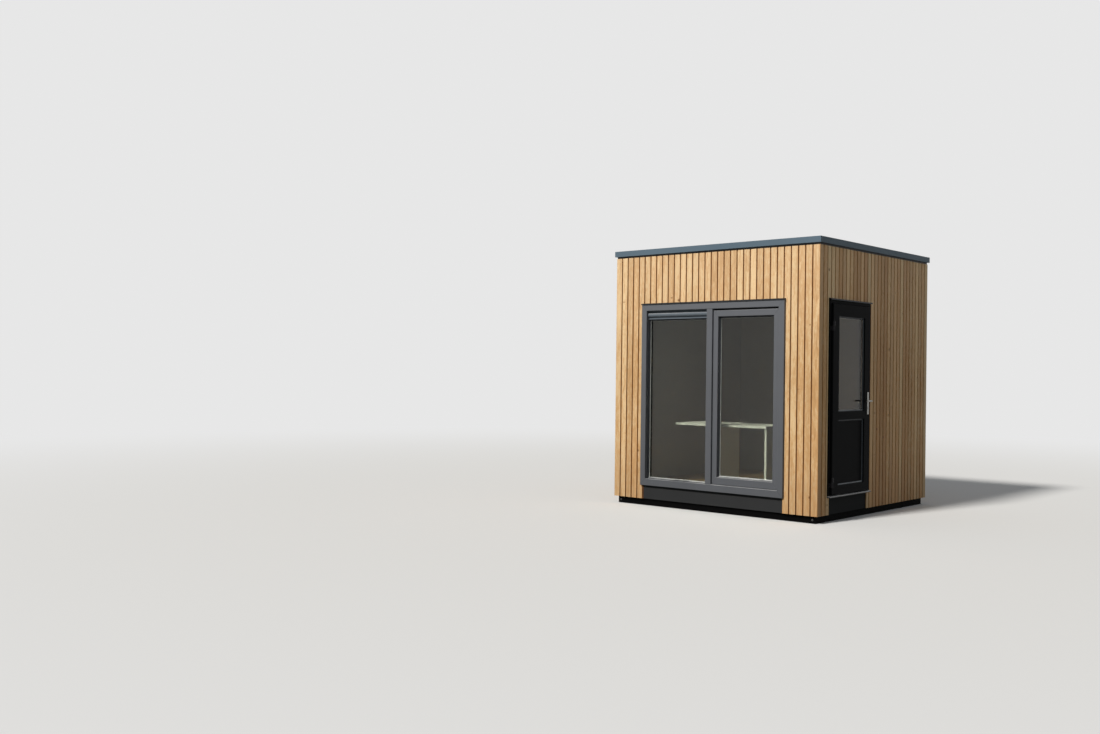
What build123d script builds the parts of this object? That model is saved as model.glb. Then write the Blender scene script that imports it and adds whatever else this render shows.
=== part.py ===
"""Garden office pod: a square flat-roofed timber room with a two-light front window and a side door.

Millimetres. The origin is on the ground, in the middle of the underside of the base.
+Z is up, the window wall faces -Y and the door is in the +X wall, near the front corner.
"""

from build123d import *
import os

# Boards set the size of the house: 32 boards on each side
board_pitch = 84
board_count = 32
clad = board_pitch * board_count / 2

# Wall build-up, measured inwards from the face of the boards
cladding_depth = 46
panel_depth = 124
core = clad - cladding_depth
room = core - panel_depth

# Heights above the ground
plinth_top = 80
floor_panel_top = 240
floor_level = 262
wall_top = 2700
cladding_top = 2915
roof_top = 3000

# Plinth bearers
plinth_inset = 38
bearer_width = 70
bearer_rows = 3
bearer_spacing = 600

# Roof edge
trim_overhang = 18
trim_height = 64
trim_width = 92
trim_sheet = 4
trim_gap = 2
kerb_width = 64
membrane_depth = 45

# Front window: outer frame with two lights
window_width = 1890
window_bottom = floor_panel_top
window_top = 2360
window_proud = 25
window_depth = 120
window_jamb = 70
window_head = 82
window_sill = 78
mullion = 76
stop_width = 15
stop_depth = 30
sash_setback = 20
sash_depth = 70
sash_gap = 4
sash_head_gap = 20
sash_stile = 62
sash_head = 68
sash_sill = 80
sash_lip = 6
bead_width = 14
bead_depth = 12
bead_slope = 8
pane_thickness = 24
pane_gap = 3
vent_height = 98
vent_lip = 11
vent_lip_reach = 10
vent_groove = 15
vent_bar = 46
vent_reach = 26
joint_gap = 5
edge_break = 3

# Folded metal over the window and the door
flashing_sheet = 3
flashing_upstand = 13
flashing_reach = 9
window_drip = 10
door_flashing_reach = 20
door_drip = 12

# Panels that close the wall under the window and the door
apron_recess = 12
foot_gap = 1
window_apron_width = 1850
door_apron_width = 860

# Side door: frame, leaf and threshold
door_centre = -clad + 678
door_frame_width = 944
door_frame_top = 2362
door_frame_proud = 12
door_frame_depth = 114
door_jamb = 37.5
door_head = 42
door_stop = 14
door_stop_depth = 69
leaf_proud = 32
leaf_depth = 58
leaf_bottom = 288
leaf_top = 2313
leaf_near_gap = 6.5
leaf_far_gap = 6.5
stile = 132
glass_bottom = 1168
glass_top = 2181
panel_bottom = 384
panel_top = 1078
leaf_lip = 10
door_pane_thickness = 24
threshold_top = 280
threshold_nose = 24
threshold_fall = 6
upstand_width = 12
upstand_height = 16
upstand_setback = 8

# Hinges and lever handle
hinge_heights = (419, 2076)
hinge_radius = 8
hinge_pin = 3.9
hinge_bore = 4
hinge_half = 50
hinge_play = 1
hinge_stand = 2
hinge_set = 7
hinge_plate = 3
hinge_plate_width = 34
pin_reach = 42
bore_reach = 45
handle_backset = 54
handle_axis_height = 1274
plate_height = 246
plate_width = 36
plate_depth = 8
plate_corner = 6
plate_slope = 2
plate_drop = 26
cylinder_drop = 72
cylinder_radius = 8.5
cylinder_width = 10
cylinder_tail = 19
cylinder_proud = 3
lever_reach = 50
lever_length = 118
lever_radius = 9
lever_play = 1
spindle_radius = 5
spindle_bore = 6

# Desk behind the window
desk_length = 1200
desk_depth = 600
desk_height = 720
desk_board = 25
desk_overhang = 475
desk_panel_inset = 20
desk_centre = 10
desk_wall_gap = 24

os.makedirs("parts", exist_ok=True)


def save(builder, name):
    """Label a finished piece and write it."""
    builder.part.label = name
    export_step(builder.part, f"parts/{name}.step")


def rectangle(x0, x1, y0, y1):
    """Outline of a straight piece, from its lower left corner."""
    return [(x0, y0), (x1, y0), (x1, y1), (x0, y1)]


def upright(outlines, bottom, top):
    """Pieces with the plan outlines given, between two heights."""
    with BuildPart() as pieces:
        with BuildSketch(Plane.XY.offset(bottom)):
            for outline in outlines:
                Polygon(*outline, align=None)
        extrude(amount=top - bottom)
    return pieces


def mitred_frame(outer, inner):
    """Outlines of the two posts and of the two rails between an outer and an inner rectangle."""
    low_left, low_right, top_right, top_left = zip(rectangle(*outer), rectangle(*inner))
    posts = [
        [low_left[0], low_left[1], top_left[1], top_left[0]],
        [low_right[0], top_right[0], top_right[1], low_right[1]],
    ]
    rails = [
        [low_left[0], low_right[0], low_right[1], low_left[1]],
        [top_left[0], top_left[1], top_right[1], top_right[0]],
    ]
    return posts, rails


def frame_bars(plane, outlines, depth, along):
    """Bars that reach back from a plane, with the long edges of their faces broken."""
    with BuildPart() as bars:
        with BuildSketch(plane):
            for outline in outlines:
                Polygon(*outline, align=None)
        extrude(amount=-depth)
        front = bars.faces().group_by(Axis(plane.origin, plane.z_dir))[-1]
        chamfer(front.edges().filter_by(along), length=edge_break)
    return bars.part


def stop_ring(plane, middle, width, height, depth):
    """A ring of stops inside an opening of that width and height, reaching back from a plane."""
    with BuildPart() as ring:
        with BuildSketch(plane):
            with Locations(middle):
                Rectangle(width, height)
                Rectangle(width - 2 * stop_width, height - 2 * stop_width, mode=Mode.SUBTRACT)
        extrude(amount=-depth)
    return ring.part


# Base: bearers along X, with the end bearers between them
plinth = clad - plinth_inset
with BuildPart() as plinth_bearers:
    with BuildSketch():
        with Locations((0, plinth - bearer_width / 2), (0, bearer_width / 2 - plinth)):
            Rectangle(2 * plinth, bearer_width)
        with GridLocations(0, bearer_spacing, 1, bearer_rows):
            Rectangle(2 * (plinth - bearer_width), bearer_width)
    extrude(amount=plinth_top)
save(plinth_bearers, "plinth_bearers")

with BuildPart() as plinth_ends:
    with BuildSketch():
        with GridLocations(2 * plinth - bearer_width, 0, 2, 1):
            Rectangle(bearer_width, 2 * (plinth - bearer_width))
    extrude(amount=plinth_top)
save(plinth_ends, "plinth_ends")

with BuildPart() as floor_panel:
    with BuildSketch(Plane.XY.offset(plinth_top)):
        Rectangle(2 * core, 2 * core)
    extrude(amount=floor_panel_top - plinth_top)
save(floor_panel, "floor_panel")

# Floor boarding runs through the doorway to the door frame
door_y0 = door_centre - door_frame_width / 2
door_y1 = door_centre + door_frame_width / 2
door_frame_face = clad + door_frame_proud
door_frame_back = door_frame_face - door_frame_depth
with BuildPart() as floor_boarding:
    with BuildSketch(Plane.XY.offset(floor_panel_top)):
        Rectangle(2 * room, 2 * room)
        with Locations(((room + door_frame_back) / 2, door_centre)):
            Rectangle(door_frame_back - room, door_frame_width)
    extrude(amount=floor_level - floor_panel_top)
save(floor_boarding, "floor_boarding")

# Structural wall panels, split beside and over the window and the door
window_half = window_width / 2
walls = {
    "left_wall": ([rectangle(-core, -room, -core, core)], floor_panel_top),
    "back_wall": ([rectangle(-room, room, room, core)], floor_panel_top),
    "front_wall_sides": (
        [
            rectangle(-room, -window_half, -core, -room),
            rectangle(window_half, room, -core, -room),
        ],
        floor_panel_top,
    ),
    "front_wall_head": ([rectangle(-window_half, window_half, -core, -room)], window_top),
    "door_wall_front": ([rectangle(room, core, -core, door_y0)], floor_panel_top),
    "door_wall_rear": ([rectangle(room, core, door_y1, core)], floor_panel_top),
    "door_wall_head": ([rectangle(room, core, door_y0, door_y1)], door_frame_top),
}
for name, (outlines, bottom) in walls.items():
    save(upright(outlines, bottom, wall_top), name)

# Cladding on battens, mitred at the four corners and cut round the window and the door
opening = window_half + joint_gap
door_clad_y0 = door_y0 - joint_gap
door_clad_y1 = door_y1 + joint_gap
head_gap = flashing_upstand + 1
claddings = {
    "left_cladding": ([[(-clad, -clad), (-core, -core), (-core, core), (-clad, clad)]], plinth_top),
    "back_cladding": ([[(-clad, clad), (-core, core), (core, core), (clad, clad)]], plinth_top),
    "front_cladding_sides": (
        [
            [(-clad, -clad), (-opening, -clad), (-opening, -core), (-core, -core)],
            [(opening, -clad), (clad, -clad), (core, -core), (opening, -core)],
        ],
        plinth_top,
    ),
    "front_cladding_head": (
        [rectangle(-opening, opening, -clad, -core)],
        window_top + head_gap,
    ),
    "door_wall_cladding_front": (
        [[(clad, -clad), (clad, door_clad_y0), (core, door_clad_y0), (core, -core)]],
        plinth_top,
    ),
    "door_wall_cladding_rear": (
        [[(core, door_clad_y1), (clad, door_clad_y1), (clad, clad), (core, core)]],
        plinth_top,
    ),
    "door_wall_cladding_head": (
        [rectangle(core, clad, door_clad_y0, door_clad_y1)],
        door_frame_top + head_gap,
    ),
}
for name, (outlines, bottom) in claddings.items():
    save(upright(outlines, bottom, cladding_top), name)

# Short board ends beside the panels under the window and the door
window_foot = (opening - window_apron_width / 2) - foot_gap
door_foot = (door_clad_y1 - door_clad_y0 - door_apron_width) / 2 - foot_gap
with BuildPart() as cladding_feet:
    with BuildSketch(Plane.XY.offset(plinth_top)):
        with Locations((0, -clad + cladding_depth / 2)):
            with GridLocations(2 * opening - window_foot, 0, 2, 1):
                Rectangle(window_foot, cladding_depth)
    extrude(amount=window_bottom - plinth_top - foot_gap)
    with BuildSketch(Plane.XY.offset(plinth_top)):
        with Locations((clad - cladding_depth / 2, door_centre)):
            with GridLocations(0, door_clad_y1 - door_clad_y0 - door_foot, 1, 2):
                Rectangle(cladding_depth, door_foot)
    extrude(amount=floor_level - plinth_top - foot_gap)
save(cladding_feet, "cladding_feet")

# Dark panels under the window and the door, set back from the boards
apron_depth = cladding_depth - apron_recess
with BuildPart() as apron_panels:
    with BuildSketch(Plane.XY.offset(plinth_top)):
        with Locations((0, -core - apron_depth / 2)):
            Rectangle(window_apron_width, apron_depth)
    extrude(amount=window_bottom - plinth_top)
    with BuildSketch(Plane.XY.offset(plinth_top)):
        with Locations((core + apron_depth / 2, door_centre)):
            Rectangle(apron_depth, door_apron_width)
    extrude(amount=floor_level - plinth_top)
save(apron_panels, "apron_panels")

# Window frame: mitred posts and rails round two lights, with a mullion between the lights
window_face = clad + window_proud
light_bottom = window_bottom + window_sill
light_top = window_top - window_head
light_height = light_top - light_bottom
light_middle = (light_top + light_bottom) / 2
light_inner = mullion / 2
light_outer = window_half - window_jamb
light_width = light_outer - light_inner
light_centre = (light_outer + light_inner) / 2
window_plane = Plane.XZ.offset(window_face)
frame_posts, frame_rails = mitred_frame(
    (-window_half, window_half, window_bottom, window_top),
    (-light_outer, light_outer, light_bottom, light_top),
)
frame_posts.append(rectangle(-light_inner, light_inner, light_bottom, light_top))
with BuildPart() as window_posts:
    add(frame_bars(window_plane, frame_posts, window_depth, Axis.Z))
save(window_posts, "window_posts")

with BuildPart() as window_rails:
    add(frame_bars(window_plane, frame_rails, window_depth, Axis.X))
save(window_rails, "window_rails")

# Opening light of the window, shut in its frame: mitred stiles and rails
stop_face = window_face - window_depth + stop_depth
sash_face = window_face - sash_setback
sash_left = light_inner + sash_gap
sash_right = light_outer - sash_gap
sash_bottom = light_bottom + sash_gap
sash_top = light_top - sash_head_gap
sash_light_left = sash_left + sash_stile
sash_light_right = sash_right - sash_stile
sash_light_bottom = sash_bottom + sash_sill
sash_light_top = sash_top - sash_head
sash_light_width = sash_light_right - sash_light_left
sash_light_height = sash_light_top - sash_light_bottom
sash_light_middle = (
    (sash_light_left + sash_light_right) / 2,
    (sash_light_bottom + sash_light_top) / 2,
)
sash_plane = Plane.XZ.offset(sash_face)
stile_outlines, rail_outlines = mitred_frame(
    (sash_left, sash_right, sash_bottom, sash_top),
    (sash_light_left, sash_light_right, sash_light_bottom, sash_light_top),
)
with BuildPart() as sash_stiles:
    add(frame_bars(sash_plane, stile_outlines, sash_depth, Axis.Z))
save(sash_stiles, "sash_stiles")

with BuildPart() as sash_rails:
    add(frame_bars(sash_plane, rail_outlines, sash_depth, Axis.X))
save(sash_rails, "sash_rails")

# Stops behind the fixed pane, behind the opening light and behind its pane
sash_lip_face = sash_face - sash_depth + sash_lip
with BuildPart() as window_stops:
    for middle in (-light_centre, light_centre):
        add(
            stop_ring(
                Plane.XZ.offset(stop_face), (middle, light_middle), light_width, light_height, stop_depth
            )
        )
    add(
        stop_ring(
            Plane.XZ.offset(sash_lip_face),
            sash_light_middle,
            sash_light_width,
            sash_light_height,
            sash_lip,
        )
    )
save(window_stops, "window_stops")

# Double glazing, pressed back against the stops: the fixed pane ends under the ventilator
left_glass_face = stop_face + pane_thickness
right_glass_face = sash_lip_face + pane_thickness
fixed_height = light_height - vent_height
fixed_middle = (-light_centre, light_bottom + fixed_height / 2)
with BuildPart() as window_glass:
    with BuildSketch(Plane.XZ.offset(left_glass_face)):
        with Locations(fixed_middle):
            Rectangle(light_width - 2 * pane_gap, fixed_height - 2 * pane_gap)
    extrude(amount=-pane_thickness)
    with BuildSketch(Plane.XZ.offset(right_glass_face)):
        with Locations(sash_light_middle):
            Rectangle(sash_light_width - 2 * pane_gap, sash_light_height - 2 * pane_gap)
    extrude(amount=-pane_thickness)
save(window_glass, "window_glass")


def glazing_bead(plane, middle, width, height):
    """A sloped bead round an opening: outer sizes, with its back on the plane."""
    with BuildPart() as bead:
        with BuildSketch(plane):
            with Locations(middle):
                Rectangle(width, height)
                Rectangle(width - 2 * bead_width, height - 2 * bead_width, mode=Mode.SUBTRACT)
        extrude(amount=bead_depth)
        front = bead.faces().filter_by(plane).sort_by(SortBy.DISTANCE)[-1]
        chamfer(front.inner_wires()[0].edges(), length=bead_slope)
    return bead.part


with BuildPart() as window_beads:
    add(glazing_bead(Plane.XZ.offset(left_glass_face), fixed_middle, light_width, fixed_height))
    add(
        glazing_bead(
            Plane.XZ.offset(right_glass_face), sash_light_middle, sash_light_width, sash_light_height
        )
    )
save(window_beads, "window_beads")

# Ventilator across the top of the fixed light: a rounded bar, a groove and a thin drip lip
vent_foot = light_top - vent_height
lip_head = vent_foot + vent_lip
bar_foot = lip_head + vent_groove
bar_head = bar_foot + vent_bar
vent_front = left_glass_face + bead_depth
lip_front = vent_front + vent_lip_reach
bar_shoulder = vent_front + vent_reach / 2
with BuildPart() as window_vent:
    with BuildSketch(Plane.YZ.offset(-light_outer)):
        with BuildLine():
            Polyline(
                (-bar_shoulder, bar_foot),
                (-vent_front, bar_foot),
                (-vent_front, lip_head),
                (-lip_front, lip_head),
                (-lip_front, vent_foot),
                (-stop_face, vent_foot),
                (-stop_face, light_top),
                (-vent_front, light_top),
                (-vent_front, bar_head),
                (-bar_shoulder, bar_head),
            )
            ThreePointArc(
                (-bar_shoulder, bar_head),
                (-vent_front - vent_reach, (bar_foot + bar_head) / 2),
                (-bar_shoulder, bar_foot),
            )
        make_face()
    extrude(amount=light_width)
save(window_vent, "window_vent")


def head_flashing(plane, nose, bottom, drip, length):
    """A folded sheet over a frame, its fold drawn on a plane across the wall.

    The sheet turns up against the wall panel and its front edge, at nose, turns down by drip.
    """
    with BuildPart() as fold:
        with BuildSketch(plane):
            Polygon(
                (core, bottom),
                (nose - flashing_sheet, bottom),
                (nose - flashing_sheet, bottom - drip),
                (nose, bottom - drip),
                (nose, bottom + flashing_sheet),
                (core + flashing_sheet, bottom + 2 * flashing_sheet),
                (core + flashing_sheet, bottom + flashing_upstand),
                (core, bottom + flashing_upstand),
                align=None,
            )
        extrude(amount=length / 2, both=True)
    return fold.part


# Folded metal over the heads of the window and the door
with BuildPart() as head_flashings:
    add(
        head_flashing(
            Plane((0, 0, 0), x_dir=(0, -1, 0), z_dir=(-1, 0, 0)),
            window_face + flashing_reach,
            window_top,
            window_drip,
            window_width + 2 * joint_gap,
        )
    )
    add(
        head_flashing(
            Plane((0, door_centre, 0), x_dir=(1, 0, 0), z_dir=(0, -1, 0)),
            door_frame_face + door_flashing_reach,
            door_frame_top,
            door_drip,
            door_frame_width + 2 * joint_gap,
        )
    )
save(head_flashings, "head_flashings")

# Door frame: an upright frame open at the foot, with its stop behind the leaf
frame_foot = threshold_top
opening_y0 = door_y0 + door_jamb
opening_y1 = door_y1 - door_jamb
opening_top = door_frame_top - door_head
with BuildPart() as door_frame:
    with BuildSketch(Plane.YZ.offset(door_frame_face)):
        Polygon(*rectangle(door_y0, door_y1, frame_foot, door_frame_top), align=None)
        Polygon(
            *rectangle(opening_y0, opening_y1, frame_foot, opening_top),
            align=None,
            mode=Mode.SUBTRACT,
        )
    extrude(amount=-door_frame_depth)
    chamfer(door_frame.faces().sort_by(Axis.X)[-1].edges().filter_by(Axis.Z), length=edge_break)
    with BuildSketch(Plane.YZ.offset(door_frame_back)):
        Polygon(*rectangle(opening_y0, opening_y1, frame_foot, opening_top), align=None)
        Polygon(
            *rectangle(
                opening_y0 + door_stop, opening_y1 - door_stop, frame_foot, opening_top - door_stop
            ),
            align=None,
            mode=Mode.SUBTRACT,
        )
    extrude(amount=door_stop_depth)
save(door_frame, "door_frame")

# Metal threshold with a sloped nose and an upstand behind the leaf
stop_front = door_frame_back + door_stop_depth
nose_front = door_frame_face + threshold_nose
with BuildPart() as door_threshold:
    with BuildSketch(Plane((0, door_centre, 0), x_dir=(1, 0, 0), z_dir=(0, -1, 0))):
        Polygon(
            (door_frame_back, floor_panel_top),
            (core, floor_panel_top),
            (core, floor_level),
            (nose_front, floor_level),
            (nose_front, threshold_top - threshold_fall),
            (door_frame_face, threshold_top),
            (door_frame_back, threshold_top),
            align=None,
        )
    extrude(amount=door_frame_width / 2, both=True)
    with BuildSketch(Plane.XY.offset(threshold_top)):
        with Locations((stop_front - upstand_setback, (opening_y0 + opening_y1) / 2)):
            Rectangle(upstand_width, opening_y1 - opening_y0 - 2 * door_stop)
    extrude(amount=upstand_height)
save(door_threshold, "door_threshold")

# Door leaf: stiles, top, middle and bottom rails, with a lip behind the glass and the panel
leaf_face = clad + leaf_proud
leaf_back = leaf_face - leaf_depth
leaf_y0 = opening_y0 + leaf_near_gap
leaf_y1 = opening_y1 - leaf_far_gap
leaf_openings = ((glass_bottom, glass_top), (panel_bottom, panel_top))
infill_y0 = leaf_y0 + stile
infill_y1 = leaf_y1 - stile
lip_face = leaf_back + leaf_lip
handle_y = leaf_y1 - handle_backset
with BuildPart() as door_leaf:
    with BuildSketch(Plane.YZ.offset(leaf_face)):
        Polygon(*rectangle(leaf_y0, leaf_y1, leaf_bottom, leaf_top), align=None)
        for low, high in leaf_openings:
            Polygon(
                *rectangle(infill_y0, infill_y1, low, high), align=None, mode=Mode.SUBTRACT
            )
    extrude(amount=-leaf_depth)
    chamfer(door_leaf.faces().sort_by(Axis.X)[-1].edges(), length=edge_break)
    with BuildSketch(Plane.YZ.offset(leaf_back)):
        for low, high in leaf_openings:
            Polygon(*rectangle(infill_y0, infill_y1, low, high), align=None)
            Polygon(
                *rectangle(infill_y0 + leaf_lip, infill_y1 - leaf_lip, low + leaf_lip, high - leaf_lip),
                align=None,
                mode=Mode.SUBTRACT,
            )
    extrude(amount=leaf_lip)
    with Locations(Plane.YZ.offset(leaf_face)):
        with Locations((handle_y, handle_axis_height)):
            Hole(spindle_bore)
save(door_leaf, "door_leaf")

# Double glazing above and a plain insulated panel below, both held by sloped beads
infill_face = lip_face + door_pane_thickness
infill_y = (infill_y0 + infill_y1) / 2
infill_width = infill_y1 - infill_y0
for name, (low, high) in zip(("door_glass", "door_panel"), leaf_openings):
    with BuildPart() as infill:
        with BuildSketch(Plane.YZ.offset(lip_face)):
            with Locations((infill_y, (low + high) / 2)):
                Rectangle(infill_width - 2 * pane_gap, high - low - 2 * pane_gap)
        extrude(amount=door_pane_thickness)
    save(infill, name)

with BuildPart() as door_beads:
    for low, high in leaf_openings:
        add(
            glazing_bead(
                Plane.YZ.offset(infill_face), (infill_y, (low + high) / 2), infill_width, high - low
            )
        )
save(door_beads, "door_beads")

# Hinges: a fixed half with its pin on the frame, a hollow half on the leaf
hinge_x = leaf_face + hinge_radius + hinge_stand
hinge_y = leaf_y0 - hinge_set
knuckle = hinge_half - hinge_play
with BuildPart() as door_hinge_fixed_halves:
    web = rectangle(door_frame_face, hinge_x, hinge_y - hinge_radius, hinge_y - hinge_plate)
    foot = rectangle(
        door_frame_face, door_frame_face + hinge_plate, door_y0 + edge_break, hinge_y - hinge_plate
    )
    for height in hinge_heights:
        with BuildSketch(Plane.XY.offset(height - hinge_half)):
            with Locations((hinge_x, hinge_y)):
                Circle(hinge_radius)
            Polygon(*web, align=None)
            Polygon(*foot, align=None)
        extrude(amount=knuckle)
        with BuildSketch(Plane.XY.offset(height - hinge_play)):
            with Locations((hinge_x, hinge_y)):
                Circle(hinge_pin)
        extrude(amount=pin_reach)
save(door_hinge_fixed_halves, "door_hinge_fixed_halves")

plate_y = leaf_y0 + edge_break
with BuildPart() as door_hinge_leaf_halves:
    for height in hinge_heights:
        with BuildSketch(Plane.XY.offset(height + hinge_play)):
            with Locations((hinge_x, hinge_y)):
                Circle(hinge_radius)
            Polygon(*rectangle(leaf_face, hinge_x, hinge_y, plate_y + hinge_plate), align=None)
            Polygon(
                *rectangle(leaf_face, leaf_face + hinge_plate, plate_y, plate_y + hinge_plate_width),
                align=None,
            )
        extrude(amount=knuckle)
        with BuildSketch(Plane.XY.offset(height + hinge_play)):
            with Locations((hinge_x, hinge_y)):
                Circle(hinge_bore)
        extrude(amount=bore_reach, mode=Mode.SUBTRACT)
save(door_hinge_leaf_halves, "door_hinge_leaf_halves")

# Long back plates on both faces of the leaf, bored for the spindle
plate_middle = handle_axis_height - plate_drop
with BuildPart() as door_handle_plates:
    for face, way in ((leaf_face, 1), (leaf_back, -1)):
        with BuildSketch(Plane.YZ.offset(face)):
            with Locations((handle_y, plate_middle)):
                RectangleRounded(plate_width, plate_height, plate_corner)
            with Locations((handle_y, handle_axis_height)):
                Circle(spindle_bore, mode=Mode.SUBTRACT)
        extrude(amount=way * plate_depth)
        rim = door_handle_plates.faces().filter_by(Axis.X).sort_by(Axis.X)[-1 if way > 0 else 0]
        chamfer(rim.outer_wire().edges(), length=plate_slope)
        with BuildSketch(Plane.YZ.offset(face + way * plate_depth)):
            with Locations((handle_y, handle_axis_height - cylinder_drop)):
                Circle(cylinder_radius)
            with Locations((handle_y, handle_axis_height - cylinder_drop - cylinder_tail / 2)):
                Rectangle(cylinder_width, cylinder_tail)
            with Locations((handle_y, handle_axis_height - cylinder_drop - cylinder_tail)):
                Circle(cylinder_width / 2)
        extrude(amount=way * cylinder_proud)
save(door_handle_plates, "door_handle_plates")

# Lever handles on one spindle through the leaf, turned back towards the hinges
outer_neck = leaf_face + plate_depth + lever_play
inner_neck = leaf_back - plate_depth - lever_play
with BuildPart() as door_lever:
    with BuildSketch(Plane.YZ.offset(inner_neck)):
        with Locations((handle_y, handle_axis_height)):
            Circle(spindle_radius)
    extrude(amount=outer_neck - inner_neck)
    for plate, way in ((outer_neck, 1), (inner_neck, -1)):
        grip_x = plate + way * (lever_reach - lever_radius)
        with BuildLine() as arm:
            Polyline(
                (plate, handle_y, handle_axis_height),
                (grip_x, handle_y, handle_axis_height),
                (grip_x, handle_y - lever_length, handle_axis_height),
            )
        with BuildSketch(Plane((plate, handle_y, handle_axis_height), z_dir=(way, 0, 0))):
            Circle(lever_radius)
        sweep(path=arm.line, transition=Transition.ROUND)
save(door_lever, "door_lever")

# Roof: insulated panel, membrane, kerb and folded edge trim
with BuildPart() as roof_panel:
    with BuildSketch(Plane.XY.offset(wall_top)):
        Rectangle(2 * core, 2 * core)
    extrude(amount=cladding_top - wall_top)
save(roof_panel, "roof_panel")

trim_face = clad + trim_overhang
trim_inner = trim_face - trim_width
kerb_inner = trim_inner + trim_sheet
kerb_outer = kerb_inner + kerb_width
membrane_top = cladding_top + membrane_depth
with BuildPart() as roof_kerb:
    with BuildSketch(Plane.XY.offset(cladding_top)):
        Rectangle(2 * kerb_outer, 2 * kerb_outer)
        Rectangle(2 * kerb_inner, 2 * kerb_inner, mode=Mode.SUBTRACT)
    extrude(amount=roof_top - trim_sheet - cladding_top)
save(roof_kerb, "roof_kerb")

with BuildPart() as roof_membrane:
    with BuildSketch(Plane.XY.offset(cladding_top)):
        Rectangle(2 * kerb_inner, 2 * kerb_inner)
    extrude(amount=membrane_depth)
save(roof_membrane, "roof_membrane")

# One length of trim: a folded sheet run along the front and mitred at both ends
trim_bottom = roof_top - trim_height
with BuildPart() as front_trim:
    with BuildSketch(Plane((0, 0, 0), x_dir=(0, -1, 0), z_dir=(-1, 0, 0))):
        Polygon(
            (trim_face, trim_bottom),
            (trim_face, roof_top),
            (trim_inner, roof_top),
            (trim_inner, membrane_top),
            (kerb_inner, membrane_top),
            (kerb_inner, roof_top - trim_sheet),
            (trim_face - trim_sheet, roof_top - trim_sheet),
            (trim_face - trim_sheet, trim_bottom + trim_sheet),
            (clad + trim_gap, trim_bottom + trim_sheet),
            (clad + trim_gap, trim_bottom),
            align=None,
        )
    extrude(amount=trim_face, both=True)
    split(bisect_by=Plane((0, 0, 0), z_dir=(1, -1, 0)), keep=Keep.TOP)
    split(bisect_by=Plane((0, 0, 0), z_dir=(-1, -1, 0)), keep=Keep.TOP)

for name, turn in (("front_and_back", 0), ("right_and_left", 90)):
    with BuildPart() as trims:
        add(front_trim.part, rotation=(0, 0, turn))
        add(front_trim.part, rotation=(0, 0, turn + 180))
    save(trims, f"roof_trims_{name}")

# Desk against the front window: a top on two upright panels
desk_x0 = desk_centre - desk_length / 2
desk_y0 = -room + desk_wall_gap
desk_top_height = floor_level + desk_height
with BuildPart() as desk_top:
    with BuildSketch(Plane.XY.offset(desk_top_height - desk_board)):
        Polygon(
            *rectangle(desk_x0, desk_x0 + desk_length, desk_y0, desk_y0 + desk_depth), align=None
        )
    extrude(amount=desk_board)
save(desk_top, "desk_top")

with BuildPart() as desk_panels:
    with BuildSketch(Plane.XY.offset(floor_level)):
        for edge in (desk_x0 + desk_overhang, desk_x0 + desk_length - desk_board):
            Polygon(
                *rectangle(
                    edge,
                    edge + desk_board,
                    desk_y0 + desk_panel_inset,
                    desk_y0 + desk_depth - desk_panel_inset,
                ),
                align=None,
            )
    extrude(amount=desk_height - desk_board)
save(desk_panels, "desk_panels")
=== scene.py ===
"""Looks of the garden office pod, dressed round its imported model.

Metres, in the model's own frame: the origin is on the ground in the middle of the base, +Z is up,
the window wall faces -Y and the door is in the +X wall.
"""

import logging
import math
from dataclasses import dataclass, field, replace
from enum import Enum
from functools import cache, reduce
from typing import Any, Callable, Optional, Sequence, Union

import bpy
import numpy as np
from mathutils import Matrix


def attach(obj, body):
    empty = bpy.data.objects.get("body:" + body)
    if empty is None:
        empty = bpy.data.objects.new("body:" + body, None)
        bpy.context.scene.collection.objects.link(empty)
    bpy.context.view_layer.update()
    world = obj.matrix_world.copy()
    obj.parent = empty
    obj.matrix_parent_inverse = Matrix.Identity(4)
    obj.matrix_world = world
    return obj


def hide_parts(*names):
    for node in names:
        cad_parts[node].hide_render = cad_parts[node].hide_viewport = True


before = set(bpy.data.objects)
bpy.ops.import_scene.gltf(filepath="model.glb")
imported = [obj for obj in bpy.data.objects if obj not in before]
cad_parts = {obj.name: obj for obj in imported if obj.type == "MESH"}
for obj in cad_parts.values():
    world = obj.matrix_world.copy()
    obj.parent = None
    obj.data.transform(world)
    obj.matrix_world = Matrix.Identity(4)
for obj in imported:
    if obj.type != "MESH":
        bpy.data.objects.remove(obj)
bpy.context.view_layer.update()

log = logging.getLogger("garden_office")

Pair = tuple[float, float]
Triple = tuple[float, float, float]
Rows = tuple[Triple, ...]
Colour = Triple


class Wall(Enum):
    """The four walls, each with its direction along the wall, left to right from outside, and outwards."""

    FRONT = ((1.0, 0.0), (0.0, -1.0))
    DOOR = ((0.0, 1.0), (1.0, 0.0))
    BACK = ((-1.0, 0.0), (0.0, 1.0))
    LEFT = ((0.0, -1.0), (-1.0, 0.0))

    def place(self, across: np.ndarray, out: np.ndarray, height: np.ndarray) -> np.ndarray:
        """Points of a wall: across times its direction plus out times outwards, at a height.

        Args:
            across: distances along the wall.
            out: distances outwards from the pod's middle.
            height: heights above the ground.

        Returns:
            An array of points, in the three arrays' common shape.
        """
        across, out, height = np.broadcast_arrays(across, out, height)
        along, outward = np.array(self.value)
        flat = across[..., None] * along + out[..., None] * outward
        return np.concatenate((flat, height[..., None]), axis=-1)


def both_ways(operation: str) -> tuple[Callable[..., "Wire"], Callable[..., "Wire"]]:
    """An operator's method and its reflected form, each of which adds one Math node.

    Args:
        operation: the Math node's operation.

    Returns:
        The method for a wire and a value, and the one for a value and a wire.
    """

    def straight(wire: "Wire", other: Any) -> "Wire":
        """The operation on a wire and another value."""
        return wire.maths(operation, wire, other)

    def reflected(wire: "Wire", other: Any) -> "Wire":
        """The operation on another value and a wire."""
        return wire.maths(operation, other, wire)

    return straight, reflected


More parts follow.
